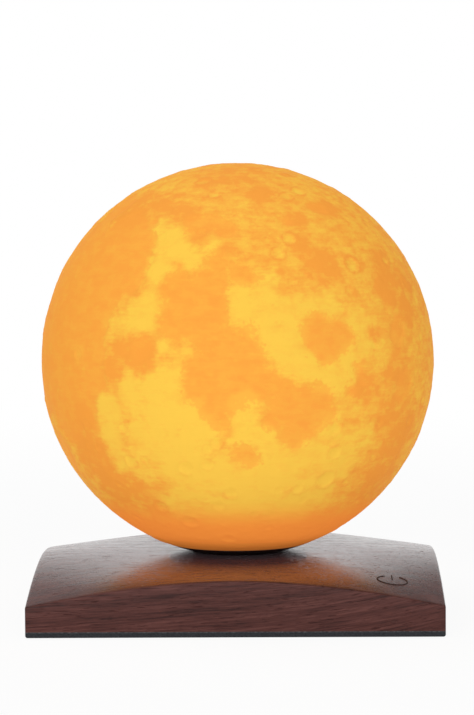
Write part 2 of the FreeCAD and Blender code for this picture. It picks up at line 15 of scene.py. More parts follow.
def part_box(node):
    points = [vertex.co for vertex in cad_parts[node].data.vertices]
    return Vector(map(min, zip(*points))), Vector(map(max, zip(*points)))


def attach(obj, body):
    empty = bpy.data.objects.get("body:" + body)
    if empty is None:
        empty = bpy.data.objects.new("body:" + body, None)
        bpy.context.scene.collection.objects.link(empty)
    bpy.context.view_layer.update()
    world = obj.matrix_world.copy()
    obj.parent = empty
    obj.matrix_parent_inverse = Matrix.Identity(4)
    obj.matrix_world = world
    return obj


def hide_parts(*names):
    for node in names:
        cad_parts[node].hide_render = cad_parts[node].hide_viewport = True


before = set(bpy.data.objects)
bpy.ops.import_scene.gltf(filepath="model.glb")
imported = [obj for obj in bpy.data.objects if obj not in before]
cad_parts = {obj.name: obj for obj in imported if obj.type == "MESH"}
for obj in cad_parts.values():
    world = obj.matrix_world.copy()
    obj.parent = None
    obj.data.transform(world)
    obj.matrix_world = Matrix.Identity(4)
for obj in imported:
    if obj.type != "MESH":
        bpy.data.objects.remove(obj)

bl_info = {
    "name": "Moon lamp",
    "version": (1, 0, 0),
    "blender": (4, 5, 0),
    "location": "View3D > Sidebar > Moon lamp",
    "description": "Builds the visible pieces, finishes and stage of a moon lamp on a walnut base",
    "category": "Object",
}

MM = 0.001
WHITE = (1.0, 1.0, 1.0)

# ---------------------------------------------------------------- places that the frame gives

BLOCK_LOW, BLOCK_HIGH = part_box("walnut_body")
BLOCK_SIDE = BLOCK_HIGH.x - BLOCK_LOW.x
PAD_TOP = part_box("base_pad")[1].z
SHELL_LOW, SHELL_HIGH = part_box("moon_shell")
BALL_RADIUS = (SHELL_HIGH.x - SHELL_LOW.x) / 2
BALL_CENTRE = Vector((0.0, 0.0, SHELL_HIGH.z - BALL_RADIUS))
TOUCH_LOW, TOUCH_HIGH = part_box("touch_board")
TOUCH_MIDDLE = (TOUCH_LOW + TOUCH_HIGH) / 2


def srgb(red, green, blue):
    """An 8-bit display colour as the linear values that materials take."""
    linear = []
    for value in (red, green, blue):
        part = value / 255
        linear.append(part / 12.92 if part <= 0.04045 else ((part + 0.055) / 1.055) ** 2.4)
    return tuple(linear)


# ---------------------------------------------------------------- settings


def plain(name, description, default, **options):
    return FloatProperty(name=name, description=description, default=default, **options)


def length(name, description, default):
    return plain(name, description, default, subtype="DISTANCE", unit="LENGTH", precision=5)


def degrees(name, description, default):
    return plain(name, description, math.radians(default), subtype="ANGLE", unit="ROTATION")


def count(name, description, default):
    return IntProperty(name=name, description=description, default=default)


def triple(name, description, default, **options):
    return FloatVectorProperty(name=name, description=description, default=default, **options)


def colour(name, description, default):
    return triple(name, description, default, subtype="COLOR", min=0.0, max=1.0)


class WalnutSettings(bpy.types.PropertyGroup):
    side_drop: length("Side drop", "How much lower the middle of a side is than the flat middle", 1.06 * MM)
    corner_drop: length("Corner drop", "How much lower a corner is than the middle of a side", 9.2 * MM)
    side_power: plain("Side power", "How late the top rolls off towards a side", 7.0)
    corner_power: plain("Corner power", "How late the top turns down towards a corner", 1.79)
    arris: length("Arris", "Roundness of the block's edges", 0.45 * MM)
    cells: count("Cells", "Cells along one side of the curved top", 90)
    ring_step: length("Ring step", "Distance between growth rings", 5.0 * MM)
    ring_tilt: degrees("Ring tilt", "Rise of the grain to the right", 3.0)
    dark: colour("Dark wood", "Late wood and streaks", srgb(58, 35, 33))
    mid: colour("Mid wood", "Most of the wood", srgb(82, 48, 44))
    light: colour("Light wood", "Early wood", srgb(100, 62, 57))


class MoonSettings(bpy.types.PropertyGroup):
    cells: count("Cells", "Cells along each of the ball's six patches, outside", 116)
    inner_cells: count("Inner cells", "Cells along each patch of the inner wall", 36)
    wall: length("Wall", "Thickness of the printed shell", 2.0 * MM)
    opening: length("Opening", "Radius of the round opening underneath", 26.7 * MM)
    turn: triple(
        "Turn", "Turn of the moon map on the ball",
        (math.radians(7.14), math.radians(4.32), math.radians(-31.13)), subtype="EULER", unit="ROTATION",
    )
    sea_depth: length("Sea depth", "How far the dark plains lie under the highlands", 0.35 * MM)
    roughness: length("Roughness", "Height of the highlands' rough ground", 0.55 * MM)
    crater_depth: plain("Crater depth", "Depth of a crater as a share of its radius", 0.22)
    ground_tone: plain("Ground tone", "Tone of plain ground, from 0 as the dark plains to 1 as the brightest", 0.40)
    ground_glow: colour("Ground glow", "Light that comes through the bright ground", srgb(197, 141, 52))
    sea_glow: colour("Sea glow", "Light that comes through the dark plains", srgb(195, 117, 45))
    foot_glow: colour("Foot glow", "Light in the band under the lamp board", srgb(213, 118, 49))
    # Painted light: the next two base colours are the glow's colour painted in; the printed plastic itself is white.
    ground_painted_glow: colour("Ground print", "The bright ground's own colour", srgb(177, 158, 58))
    sea_painted_glow: colour("Sea print", "The dark plains' own colour", srgb(175, 124, 47))


class MarkSettings(bpy.types.PropertyGroup):
    radius: length("Radius", "Radius of the ring", 5.5 * MM)
    gap: degrees("Gap", "Opening of the ring, where the bar stands", 60.0)
    line: length("Line", "Width of the burnt line", 0.5 * MM)


class StageSettings(bpy.types.PropertyGroup):
    floor_size: length("Floor size", "Side of the floor", 12.0)
    floor_colour: colour("Floor", "Pale floor", srgb(246, 246, 246))
    camera_place: triple(
        "Camera place", "Where the camera stands", (0.0196, -1.0972, 0.1720), subtype="TRANSLATION"
    )
    camera_yaw: degrees("Camera yaw", "Turn to the left of straight ahead", 1.0262)
    camera_pitch: degrees("Camera pitch", "How far the camera looks down", 3.9861)
    camera_roll: degrees("Camera roll", "Turn about the line of sight", -0.3794)
    lens: plain("Lens", "Focal length in millimetres on a 36 mm frame", 144.77)


# ---------------------------------------------------------------- wiring node trees


class Wiring:
    """Adds nodes to a tree, one line each, and gives back their outputs."""

    def __init__(self, tree):
        self.tree = tree

    def feed(self, node, wires):
        """Links or sets inputs, given by name or number. A colour may come without its alpha."""
        for name, value in wires.items():
            socket = node.inputs[name]
            if isinstance(value, bpy.types.NodeSocket):
                self.tree.links.new(value, socket)
            elif socket.type == "RGBA" and len(value) == 3:
                socket.default_value = (*value, 1.0)
            else:
                socket.default_value = value
        return node

    def add(self, kind, wires=None, **options):
        node = self.tree.nodes.new(kind)
        for name, value in options.items():
            setattr(node, name, value)
        return self.feed(node, wires or {})

    def out(self, kind, wires=None, **options):
        """The first output of a new node."""
        return self.add(kind, wires, **options).outputs[0]

    def math(self, operation, *values):
        return self.out("ShaderNodeMath", dict(enumerate(values)), operation=operation)

    def plus(self, total, *values):
        for value in values:
            total = self.math("ADD", total, value)
        return total

    def minus(self, first, second):
        return self.math("SUBTRACT", first, second)

    def times(self, product, *values):
        for value in values:
            product = self.math("MULTIPLY", product, value)
        return product

    def over(self, first, second):
        return self.math("DIVIDE", first, second)

    def vector(self, operation, *values):
        node = self.add("ShaderNodeVectorMath", dict(enumerate(values)), operation=operation)
        return node.outputs["Value" if operation in ("DISTANCE", "LENGTH") else "Vector"]

    def scaled(self, vector, scale):
        return self.out("ShaderNodeVectorMath", {0: vector, "Scale": scale}, operation="SCALE")

    def split(self, vector):
        """The X, Y and Z of a vector."""
        return self.add("ShaderNodeSeparateXYZ", {"Vector": vector}).outputs[:]

    def join(self, x=0.0, y=0.0, z=0.0):
        return self.out("ShaderNodeCombineXYZ", {"X": x, "Y": y, "Z": z})

    def ramp(self, value, low, high, start=0.0, end=1.0, smooth=True):
        """The value's place between low and high, as start to end."""
        kind = "SMOOTHSTEP" if smooth else "LINEAR"
        wires = {"Value": value, "From Min": low, "From Max": high, "To Min": start, "To Max": end}
        return self.out("ShaderNodeMapRange", wires, interpolation_type=kind)

    def mapped(self, place, scales, turn=(0.0, 0.0, 0.0)):
        return self.out("ShaderNodeMapping", {"Vector": place, "Scale": scales, "Rotation": turn})

    def noise(self, place, scale, detail, roughness, output="Fac"):
        wires = {"Vector": place, "Scale": scale, "Detail": detail, "Roughness": roughness}
        return self.add("ShaderNodeTexNoise", wires).outputs[output]

    def marks(self, place, scales, detail, roughness):
        """Noise that repeats at a rate of its own along each axis."""
        return self.noise(self.mapped(place, scales), 1.0, detail, roughness)

    def mix(self, share, first, second):
        return self.add("ShaderNodeMix", {0: share, 6: first, 7: second}, data_type="RGBA").outputs[2]

    def bump(self, height, distance, strength):
        return self.out("ShaderNodeBump", {"Height": height, "Distance": distance, "Strength": strength})

    def cube(self, size, across, high):
        wires = {"Size": size, "Vertices X": across, "Vertices Y": across, "Vertices Z": high}
        return self.out("GeometryNodeMeshCube", wires)

    def moved(self, geometry, position):
        return self.out("GeometryNodeSetPosition", {"Geometry": geometry, "Position": position})


def shape_tree(name, inputs):
    """A geometry tree with named inputs: (wiring, {name: socket}, position of a point)."""
    tree = bpy.data.node_groups.new(name, "GeometryNodeTree")
    tree.interface.new_socket(name="Geometry", in_out="OUTPUT", socket_type="NodeSocketGeometry")
    for label, kind in inputs:
        tree.interface.new_socket(name=label, in_out="INPUT", socket_type=f"NodeSocket{kind}")
    wiring = Wiring(tree)
    start = wiring.add("NodeGroupInput")
    sockets = {label: start.outputs[label] for label, kind in inputs}
    return wiring, sockets, wiring.out("GeometryNodeInputPosition")


def closed_tree(wiring, geometry, material):
    real = wiring.out("GeometryNodeRealizeInstances", {"Geometry": geometry})
    dressed = wiring.out("GeometryNodeSetMaterial", {"Geometry": real, "Material": material})
    wiring.add("NodeGroupOutput", {"Geometry": dressed})
    return wiring.tree


def grown_mesh(name, tree, values):
    """Runs a geometry tree with these inputs and gives back its result as a plain mesh."""
    holder = bpy.data.objects.new(name, bpy.data.meshes.new(name))
    bpy.context.scene.collection.objects.link(holder)
    modifier = holder.modifiers.new(name, "NODES")
    modifier.node_group = tree
    for item in tree.interface.items_tree:
        if item.in_out == "INPUT":
            modifier[item.identifier] = values[item.name]
    holder.update_tag()
    bpy.context.view_layer.update()
    grown = holder.evaluated_get(bpy.context.evaluated_depsgraph_get())
    mesh = bpy.data.meshes.new_from_object(grown)
    bpy.data.objects.remove(holder)
    mesh.name = name
    return mesh


def piece(name, mesh, finish, body, slot, *stands_for):
    """Adds a finished piece at the origin, with one finish and on its body. Its slot argument is not used."""
    mesh.materials.clear()
    mesh.materials.append(finish)
    mesh.polygons.foreach_set("material_index", [0] * len(mesh.polygons))
    thing = bpy.data.objects.new(name, mesh)
    bpy.context.scene.collection.objects.link(thing)
    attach(thing, body)
    if stands_for:
        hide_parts(*stands_for)


def material(name):
    """A new material: (material, wiring, shader, the piece's own coordinates)."""
    made = bpy.data.materials.new(name)
    made.use_nodes = True
    wiring = Wiring(made.node_tree)
    shader = made.node_tree.nodes["Principled BSDF"]
    place = wiring.add("ShaderNodeTexCoord").outputs["Object"]
    return made, wiring, shader, place


# ---------------------------------------------------------------- walnut

# Marks in the wood: rates along X, Y and Z to a metre, then the noise's detail and roughness.
FIBRES = (26.0, 1600.0, 1600.0), 5.0, 0.68
STREAKS = (9.0, 230.0, 230.0), 4.0, 0.6
PORES = (160.0, 2600.0, 2600.0), 2.0, 0.5
FLECKS = (150.0, 620.0, 1200.0), 2.0, 0.5
PORE_EDGE = 0.60, 0.70
FLECK_EDGE = 0.625, 0.72

GRAIN_BEND = 1.3  # rise of the grain on the right, over the square of the distance from the middle
GRAIN_YAW = 0.04
RING_STRETCH = 0.16  # rate of the rings along the grain, as a share of that across it
RING_NOISE = 28.0, 3.0, 0.5
RING_WANDER = 0.016
HEART_AWAY = (0.0, -0.035, 0.11)  # from the tree's heart to the middle of the block
MEAN_TONE, RING_SHARE, FIBRE_SHARE, STREAK_SHARE = 0.39, 0.14, 1.6, 0.75
DARK_TO_MID = 0.12, 0.45
MID_TO_LIGHT = 0.42, 0.78
FLECK_DEPTH = 0.6
PORE_SHADE = 0.55
PORE_DULLNESS = 0.6
FLECK_ROUGHNESS = 0.18

# Where a surface turns from facing to glancing, and its value before and after.
ROUGHNESS_RAMP = 0.60, 0.85, 0.34, 0.16
GLOSS_RAMP = 0.70, 0.87, 0.09, 0.80


def walnut_material(settings):
    """Walnut with bent rings, fibres, streaks, pores and flecks, and a satin coat that shines at a glancing angle."""
    made, wiring, shader, place = material("walnut")
    rise = wiring.math("POWER", wiring.math("MAXIMUM", wiring.split(place)[0], 0.0), 2.0)
    bent = wiring.vector("SUBTRACT", place, wiring.join(z=wiring.times(rise, GRAIN_BEND)))
    turned = wiring.mapped(bent, (1.0, 1.0, 1.0), (0.0, settings.ring_tilt, GRAIN_YAW))
    along = wiring.mapped(turned, (RING_STRETCH, 1.0, 1.0))
    waviness = wiring.noise(along, *RING_NOISE, "Color")
    shift = wiring.scaled(wiring.vector("SUBTRACT", waviness, (0.5, 0.5, 0.5)), RING_WANDER)
    _, y, z = wiring.split(wiring.vector("ADD", wiring.vector("ADD", along, shift), HEART_AWAY))
    radius = wiring.vector("LENGTH", wiring.join(y=y, z=z))
    rings = wiring.math("SINE", wiring.times(radius, 2 * math.pi / settings.ring_step))
    rings = wiring.ramp(rings, -1.0, 1.0)
    fibres, streaks, pores, flecks = (wiring.marks(turned, *kind) for kind in (FIBRES, STREAKS, PORES, FLECKS))

    tone = wiring.math("MULTIPLY_ADD", rings, RING_SHARE, MEAN_TONE)
    tone = wiring.math("MULTIPLY_ADD", wiring.minus(fibres, 0.5), FIBRE_SHARE, tone)
    tone = wiring.math("MULTIPLY_ADD", wiring.minus(streaks, 0.5), STREAK_SHARE, tone)
    wood = wiring.mix(wiring.ramp(tone, *DARK_TO_MID), settings.dark[:], settings.mid[:])
    wood = wiring.mix(wiring.ramp(tone, *MID_TO_LIGHT), wood, settings.light[:])
    fleck = wiring.ramp(flecks, *FLECK_EDGE)
    pore = wiring.math("MAXIMUM", wiring.ramp(pores, *PORE_EDGE), wiring.times(fleck, FLECK_DEPTH))
    wood = wiring.mix(wiring.times(pore, PORE_SHADE), wood, srgb(40, 24, 24))

    glancing = wiring.add("ShaderNodeLayerWeight").outputs["Facing"]
    uneven = wiring.ramp(wiring.plus(fibres, streaks), 0.8, 1.2, -0.06, 0.06)
    uneven = wiring.math("MULTIPLY_ADD", fleck, FLECK_ROUGHNESS, uneven)
    closed = wiring.minus(1.0, wiring.times(pore, PORE_DULLNESS))
    grain = wiring.minus(wiring.times(fibres, 0.4), pore)
    wiring.feed(shader, {
        "Base Color": wood,
        "Roughness": wiring.plus(wiring.ramp(glancing, *ROUGHNESS_RAMP), uneven),
        "Specular IOR Level": wiring.times(wiring.ramp(glancing, *GLOSS_RAMP), closed),
        "Sheen Weight": 0.035,
        "Sheen Roughness": 0.4,
        "Sheen Tint": (1.0, 0.86, 1.0),
        "Normal": wiring.bump(grain, 0.08 * MM, 0.8),
    })
    return made


def top_height(wiring, sockets, place):
    """Height of the curved top over the table, as a field."""
    half = wiring.times(sockets["Side"], 0.5)
    across, along = (wiring.over(wiring.math("ABSOLUTE", part), half) for part in wiring.split(place)[:2])
    both = wiring.times(across, along)
    power = sockets["Side power"]
    roll = wiring.plus(wiring.math("POWER", across, power), wiring.math("POWER", along, power))
    roll = wiring.minus(roll, wiring.math("POWER", both, power))
    droop = wiring.math("POWER", both, sockets["Corner power"])
    fall = wiring.plus(wiring.times(roll, sockets["Side drop"]), wiring.times(droop, sockets["Corner drop"]))
    return wiring.minus(sockets["Top"], fall)


TOP_LENGTHS = ("Side", "Top", "Side drop", "Corner drop", "Side power", "Corner power")
TOP_INPUTS = [(label, "Float") for label in TOP_LENGTHS]


def top_values(settings):
    drops = settings.side_drop, settings.corner_drop
    powers = settings.side_power, settings.corner_power
    return dict(zip(TOP_LENGTHS, (BLOCK_SIDE, BLOCK_HIGH.z, *drops, *powers)))


def block_tree():
    """A closed block of cells whose upper face follows the top's rule."""
    inputs = TOP_INPUTS + [("Bottom", "Float"), ("Cells", "Int"), ("Material", "Material")]
    wiring, sockets, place = shape_tree("walnut block", inputs)
    side = sockets["Side"]
    cube = wiring.cube(wiring.join(side, side, 1.0), wiring.plus(sockets["Cells"], 1.0), 2)
    x, y, z = wiring.split(place)
    upper = wiring.math("GREATER_THAN", z, 0.0)
    high = wiring.times(top_height(wiring, sockets, place), upper)
    low = wiring.times(sockets["Bottom"], wiring.minus(1.0, upper))
    shaped = wiring.moved(cube, wiring.join(x, y, wiring.plus(high, low)))
    return closed_tree(wiring, shaped, sockets["Material"])


def cylinder_tool(radius, low, high, x=0.0, y=0.0, sides=96, spot=None):
    tool = bmesh.new()
    bmesh.ops.create_cone(
        tool, cap_ends=True, segments=sides, radius1=radius, radius2=radius, depth=high - low,
        matrix=spot or Matrix.Translation((x, y, (low + high) / 2)),
    )
    return tool


def box_tool(low, high):
    tool = bmesh.new()
    spot = Matrix.Translation((low + high) / 2) @ Matrix.Diagonal((*(high - low), 1.0))
    bmesh.ops.create_cube(tool, size=1.0, matrix=spot)
    return tool


def carve(thing, tools):
    """Cuts each closed tool out of the piece and gives back the mesh that is left."""
    cutters = []
    for number, tool in enumerate(tools):
        mesh = bpy.data.meshes.new(f"tool_{number}")
        tool.to_mesh(mesh)
        tool.free()
        cutter = bpy.data.objects.new(f"tool_{number}", mesh)
        bpy.context.scene.collection.objects.link(cutter)
        cutters.append(cutter)
        modifier = thing.modifiers.new(f"cut_{number}", "BOOLEAN")
        modifier.operation = "DIFFERENCE"
        modifier.solver = "EXACT"
        modifier.object = cutter
    bpy.context.view_layer.update()
    finished = thing.evaluated_get(bpy.context.evaluated_depsgraph_get())
    mesh = bpy.data.meshes.new_from_object(finished)
    for used in (thing, *cutters):
        bpy.data.objects.remove(used)
    return mesh


POCKET_GAP = 0.5 * MM
BACK_WALL = 6.0 * MM
NOSE_HOLE_RADIUS = 5.2 * MM
NOSE_HOLE_REACH = 7.0 * MM  # to either side of the back wall's face


def block_tools():
    """The pockets in the block's underside and the hole for the inlet's nose, from the pieces that they hold."""
    gap = POCKET_GAP
    under = BLOCK_LOW.z - gap
    coil_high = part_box("transmitter_coil")[1]
    board_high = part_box("control_board")[1]
    plate_low, plate_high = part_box("bottom_plate")
    inlet_low, inlet_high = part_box("inlet_housing")
    touch_radius = (TOUCH_HIGH.x - TOUCH_LOW.x) / 2 + gap
    channel_low = Vector((inlet_low.x - gap, board_high.y - gap, under))
    channel_high = Vector((inlet_high.x + gap, BLOCK_HIGH.y - BACK_WALL, inlet_high.z + gap))
    inlet_z = sum(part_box("inlet_pin"), Vector()).z / 2
    nose = Matrix.Translation((0.0, BLOCK_HIGH.y, inlet_z)) @ Matrix.Rotation(math.pi / 2, 4, "X")
    return [
        cylinder_tool(board_high.x + gap, under, coil_high.z + gap),
        box_tool(plate_low - Vector((gap, gap, gap)), plate_high + Vector((gap, gap, 0.0))),
        cylinder_tool(touch_radius, under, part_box("touch_electrode")[1].z, TOUCH_MIDDLE.x, TOUCH_MIDDLE.y, 48),
        box_tool(channel_low, channel_high),
        cylinder_tool(NOSE_HOLE_RADIUS, -NOSE_HOLE_REACH, NOSE_HOLE_REACH, sides=64, spot=nose),
    ]


WELD = 0.01 * MM
ARRIS_ANGLE = math.radians(40)
WOOD_SHARP_ANGLE = math.radians(32)


class MOONLAMP_OT_walnut(bpy.types.Operator):
    """Makes the walnut block with its double-curved top, softened edges and pockets"""

    bl_idname = "moonlamp.walnut"
    bl_label = "Walnut block"

    def execute(self, context):
        settings = context.scene.moonlamp_walnut
        wood = walnut_material(settings)
        values = {**top_values(settings), "Bottom": BLOCK_LOW.z, "Cells": settings.cells, "Material": wood}
        mesh = grown_mesh("walnut_block", block_tree(), values)
        shape = bmesh.new()
        shape.from_mesh(mesh)
        bmesh.ops.remove_doubles(shape, verts=shape.verts, dist=WELD)
        rim = [e for e in shape.edges if len(e.link_faces) == 2 and e.calc_face_angle() > ARRIS_ANGLE]
        rim = [e for e in rim if max(v.co.z for v in e.verts) > BLOCK_LOW.z + MM]
        bmesh.ops.bevel(
            shape, geom=rim, offset=settings.arris, segments=3, profile=0.5, affect="EDGES", material=-1
        )
        bmesh.ops.recalc_face_normals(shape, faces=shape.faces)
        shape.to_mesh(mesh)
        shape.free()
        rough = bpy.data.objects.new("walnut_rough", mesh)
        context.scene.collection.objects.link(rough)
        finished = carve(rough, block_tools())
        finished.name = "walnut_block"
        finished.shade_smooth()
        finished.set_sharp_from_angle(angle=WOOD_SHARP_ANGLE)
        piece("walnut_block", finished, wood, "base", "walnut", "walnut_body")
        return {"FINISHED"}


# ---------------------------------------------------------------- touch mark


def mark_tree():
    """A thin tube along an open ring and a bar, laid on the curved top and half sunk in it."""
    inputs = TOP_INPUTS + [("Middle", "Vector"), ("Ring radius", "Float"), ("Ring gap", "Float")]
    inputs += [("Line", "Float"), ("Material", "Material")]
    wiring, sockets, position = shape_tree("touch mark", inputs)
    radius, gap = sockets["Ring radius"], sockets["Ring gap"]
    start = wiring.plus(math.pi / 2, wiring.times(gap, 0.5))
    sweep = wiring.minus(2 * math.pi, gap)
    wires = {"Resolution": 49, "Radius": radius, "Start Angle": start, "Sweep Angle": sweep}
    ring = wiring.out("GeometryNodeCurveArc", wires)
    inner, outer = (wiring.join(y=wiring.times(radius, share)) for share in (0.15, 1.2))
    bar = wiring.out("GeometryNodeCurvePrimitiveLine", {"Start": inner, "End": outer})
    bar = wiring.out("GeometryNodeResampleCurve", {"Curve": bar, "Count": 9})
    both = wiring.add("GeometryNodeJoinGeometry", {"Geometry": ring})
    wiring.feed(both, {"Geometry": bar})
    place = wiring.vector("ADD", position, sockets["Middle"])
    x, y, _ = wiring.split(place)
    path = wiring.moved(both.outputs[0], wiring.join(x, y, top_height(wiring, sockets, place)))
    wires = {"Resolution": 8, "Radius": wiring.times(sockets["Line"], 0.5)}
    section = wiring.out("GeometryNodeCurvePrimitiveCircle", wires)
    wires = {"Curve": path, "Profile Curve": section, "Fill Caps": True}
    return closed_tree(wiring, wiring.out("GeometryNodeCurveToMesh", wires), sockets["Material"])


def burnt_wood():
    made, wiring, shader, place = material("burnt_wood")
    char = wiring.noise(place, 2400.0, 3.0, 0.6)
    tone = wiring.mix(wiring.ramp(char, 0.3, 0.7), srgb(30, 18, 16), srgb(48, 29, 26))
    wiring.feed(shader, {"Base Color": tone, "Roughness": 0.8, "Normal": wiring.bump(char, 0.04 * MM, 0.5)})
    return made


class MOONLAMP_OT_mark(bpy.types.Operator):
    """Makes the plain ring and bar over the touch sensor"""

    bl_idname = "moonlamp.mark"
    bl_label = "Touch mark"

    def execute(self, context):
        settings = context.scene.moonlamp_mark
        burnt = burnt_wood()
        values = {
            **top_values(context.scene.moonlamp_walnut), "Middle": (TOUCH_MIDDLE.x, TOUCH_MIDDLE.y, 0.0),
            "Ring radius": settings.radius, "Ring gap": settings.gap, "Line": settings.line, "Material": burnt,
        }
        mesh = grown_mesh("touch_mark", mark_tree(), values)
        mesh.shade_smooth()
        piece("touch_mark", mesh, burnt, "base", "walnut")
        return {"FINISHED"}


# ---------------------------------------------------------------- moon ball

# Dark plains with a ragged coast: latitude, longitude and radius in degrees on the moon map.
SEAS = [
    (17.5, 57, 5.6), (16, 61, 5.6), (15.5, 64.5, 3.4), (12.5, 58, 3.2),
    (27, 19, 8.6), (31, 13.5, 5), (35.5, 12, 2.8), (33.5, 23.5, 5), (22, 14, 4.6), (21.5, 23, 5.6),
    (18, 23.5, 3.4), (16.5, 29, 4.6), (9.5, 23, 5.4), (4, 22.5, 4.8), (9, 31.5, 8.4), (15.5, 34.5, 4.6),
    (20, 35.5, 2.6), (3, 29, 6.2), (4.5, 37, 4.8), (9.5, 38, 3.4), (6.5, 42.5, 3), (0.5, 24.5, 3.4),
    (-3, 27, 3), (-6, 28, 2.2),
    (2.5, 47, 3.8), (-1, 46, 5.2), (-3.5, 52, 6.8), (0.5, 56, 4.2), (-8.5, 49, 4.6), (-4.5, 43, 3),
    (-11, 48, 2.6), (-4.5, 58, 3),
    (-14.5, 34.5, 3.2), (-16.8, 36.5, 2.4),
    (36, -18, 13.5), (29, -22, 11), (43, -9, 6.2), (38, -6.5, 5), (33, -6, 4.4),
    (46, -22, 9), (24, -16, 6.4), (17, -23, 9), (29, -11, 5), (18, -12.5, 4),
    (14.5, 4, 3), (10.5, -13.5, 5.2), (6, -25, 9), (3.5, -12, 5), (-2, -18, 7), (-10, -27, 8),
    (18, -45, 16), (2, -45, 15), (38, -45, 11), (-24.4, -38.6, 6.5), (54, -48, 6),
    (53.5, 20, 3.6), (51.5, 27.5, 3.8), (50.5, 14.5, 2.4), (54.5, 12.5, 2.8),
    (39.5, 26, 2.8), (37, 33.5, 3.2), (35.5, 37, 2), (42.5, 26, 1.8),
    (57, 79, 2.8), (53.5, 56.5, 1.8), (14.5, 86.5, 3.6), (17, 88.5, 2.2), (0.5, 88, 3.8), (-3, 86, 3),
    (6.8, 68.4, 1.9), (3, 69.5, 1.3), (1.1, 65.5, 1.5), (51.6, -9.4, 1.7), (-5.2, -68.6, 2.8),
    (27.3, 147.9, 4.2), (-33.7, 163.5, 4), (-20.4, 129.1, 2.8), (-19.4, -92.8, 4.8),
]

# Dusky ground, soft at its edge: latitude, longitude and radius in degrees, and how dusky.
DUSKY = [
    (56, -30, 8, 0.7), (60, -12, 6, 0.6), (57, 4, 5, 0.6), (47, 17, 3, 0.5), (44, 30, 3, 0.5),
    (38, 65, 5, 0.9), (34, 62, 3.5, 0.7), (43, 60, 3.5, 0.7), (28, 89, 6, 0.9), (36, 93, 5, 0.7),
    (1, 71, 5, 0.6), (16, 76, 3, 0.5), (6, 84, 6, 0.6), (-8, 80, 6, 0.5), (-16, 88, 9, 0.7),
    (-30, 85, 8, 0.8), (14, -2, 4.5, 0.8), (8, -5, 4, 0.7), (11, 5, 4.2, 0.8), (-9, -17, 4.5, 0.8),
    (-20, -16, 9, 0.9), (-30, -12, 8, 0.8), (-27, -3, 5, 0.6), (-35, 3, 5, 0.6),
    (-45, -15, 8, 0.8), (-39, 90, 6, 0.6), (-36, -151.8, 6, 0.8), (-45, 178, 10, 0.6),
    (11, 12, 3, 0.4), (-7, 66, 4, 0.4), (-17.5, 32, 2.5, 0.5), (80, 25, 13, 0.4),
    (66, 50, 5, 0.5), (54, 62, 3.4, 0.6), (56, 86, 5, 0.7), (20, 95, 5, 0.8), (27, 102, 5, 0.7),
]

# Bright ground, soft at its edge: latitude, longitude and radius in degrees, and how bright.
BRIGHT = [
    (51, -1, 4, 0.7), (46.5, 4, 4.6, 1), (43, 10, 4.2, 1), (41.5, 16, 3.6, 0.9), (38, 3.5, 4.6, 0.9),
    (46, 22, 3.5, 0.6), (33, 3.5, 3.4, 0.6), (27, 3.5, 4.8, 0.9), (22.5, 2, 4.8, 0.9), (20, -4, 4.2, 0.7),
    (15, 11, 2.4, 1), (14.5, 17.5, 1.6, 0.9), (12.5, 15, 2.2, 0.6),
    (31, 34, 4.4, 0.9), (26, 35, 5, 1), (22.5, 40, 5, 1), (29, 42, 5, 0.8), (25, 47, 4.5, 0.9),
    (34, 42, 4, 0.6), (17, 43.5, 5, 1), (12.5, 46.5, 5, 1), (19, 49, 4.4, 1), (9.5, 52, 4.6, 1),
    (6.5, 57.5, 5.2, 1), (4.5, 63, 4.4, 0.9), (9.5, 66, 4.4, 1), (13, 71, 3.6, 0.8), (20, 71, 4.4, 0.8),
    (25, 62, 4.6, 0.8), (26, 54, 4.4, 0.9), (10, 78, 4, 0.6),
    (4, 3, 5.4, 0.9), (3, 10, 7, 1), (8.5, 14, 3.6, 0.9), (0, 3, 6, 0.7), (-4, 12, 8, 1),
    (-5, 20, 6, 1), (-10, 22, 7, 1), (-12, 8, 9, 0.9), (-18, 17, 9, 1), (-19, 1, 7, 0.6),
    (0, 34, 4, 1), (-5, 34.5, 4.6, 1), (-9.5, 34, 4.4, 1), (-9, 39.5, 4, 0.9), (-14.5, 41.5, 4.6, 1),
    (-22, 30, 9, 1), (-21, 44, 9, 1), (-16, 54, 6, 0.9), (-9, 60, 5.4, 0.9),
    (-20, 62, 8, 0.9), (-29, 38, 10, 1), (-29, 56, 9, 0.9), (-28, 18, 8, 0.8),
    (-3, 66, 4, 0.6), (-12, 70, 6, 0.6), (-37, 30, 10, 1), (-36, 50, 9, 1), (-34, 14, 7, 0.7),
    (-4, -6, 4.6, 1), (-12, -7, 5, 1), (-20, -5, 5, 0.9), (10, -20, 3, 0.5), (21, -9, 2.6, 0.6),
]

# Large craters: latitude, longitude and radius in degrees on the moon map.
CRATERS = [
    (-43.3, -11.4, 1.6), (9.6, -20.1, 1.8), (8.1, -38, 1.2), (23.7, -47.4, 1), (16.1, 46.8, 1.1),
    (-8.9, 60.9, 2.2), (-11.4, 26.4, 1.8), (-32.5, 54.2, 1.4), (-25.3, 60.4, 2.9), (14.5, 9.1, 1),
    (50.3, 17.4, 1.6), (44.3, 16.3, 1.3), (46.7, 44.4, 1.2), (46.7, 39.1, 1.1), (-13.3, 24, 1.7),
    (-18, 23.8, 1.8), (-9.2, -1.8, 1.5), (-13.4, -2.8, 1.2), (-18.2, -1.9, 1.1), (5.5, 4.7, 1),
    (-16.4, 61.6, 2.2), (31.8, 29.9, 1.6), (35.5, 56, 1.4), (65.2, 80, 2.2), (27.7, 55.5, 1.4),
    (36.4, 77, 2.6), (29, 71, 1.4), (-58.4, -14.4, 3.6), (-35, 5, 2.2), (-50, 28, 2.4),
    (-28, 30, 2), (-41, 14, 2.6), (-33, 26, 1.8), (73.4, -10.1, 1.3), (66, 18, 1.8),
]

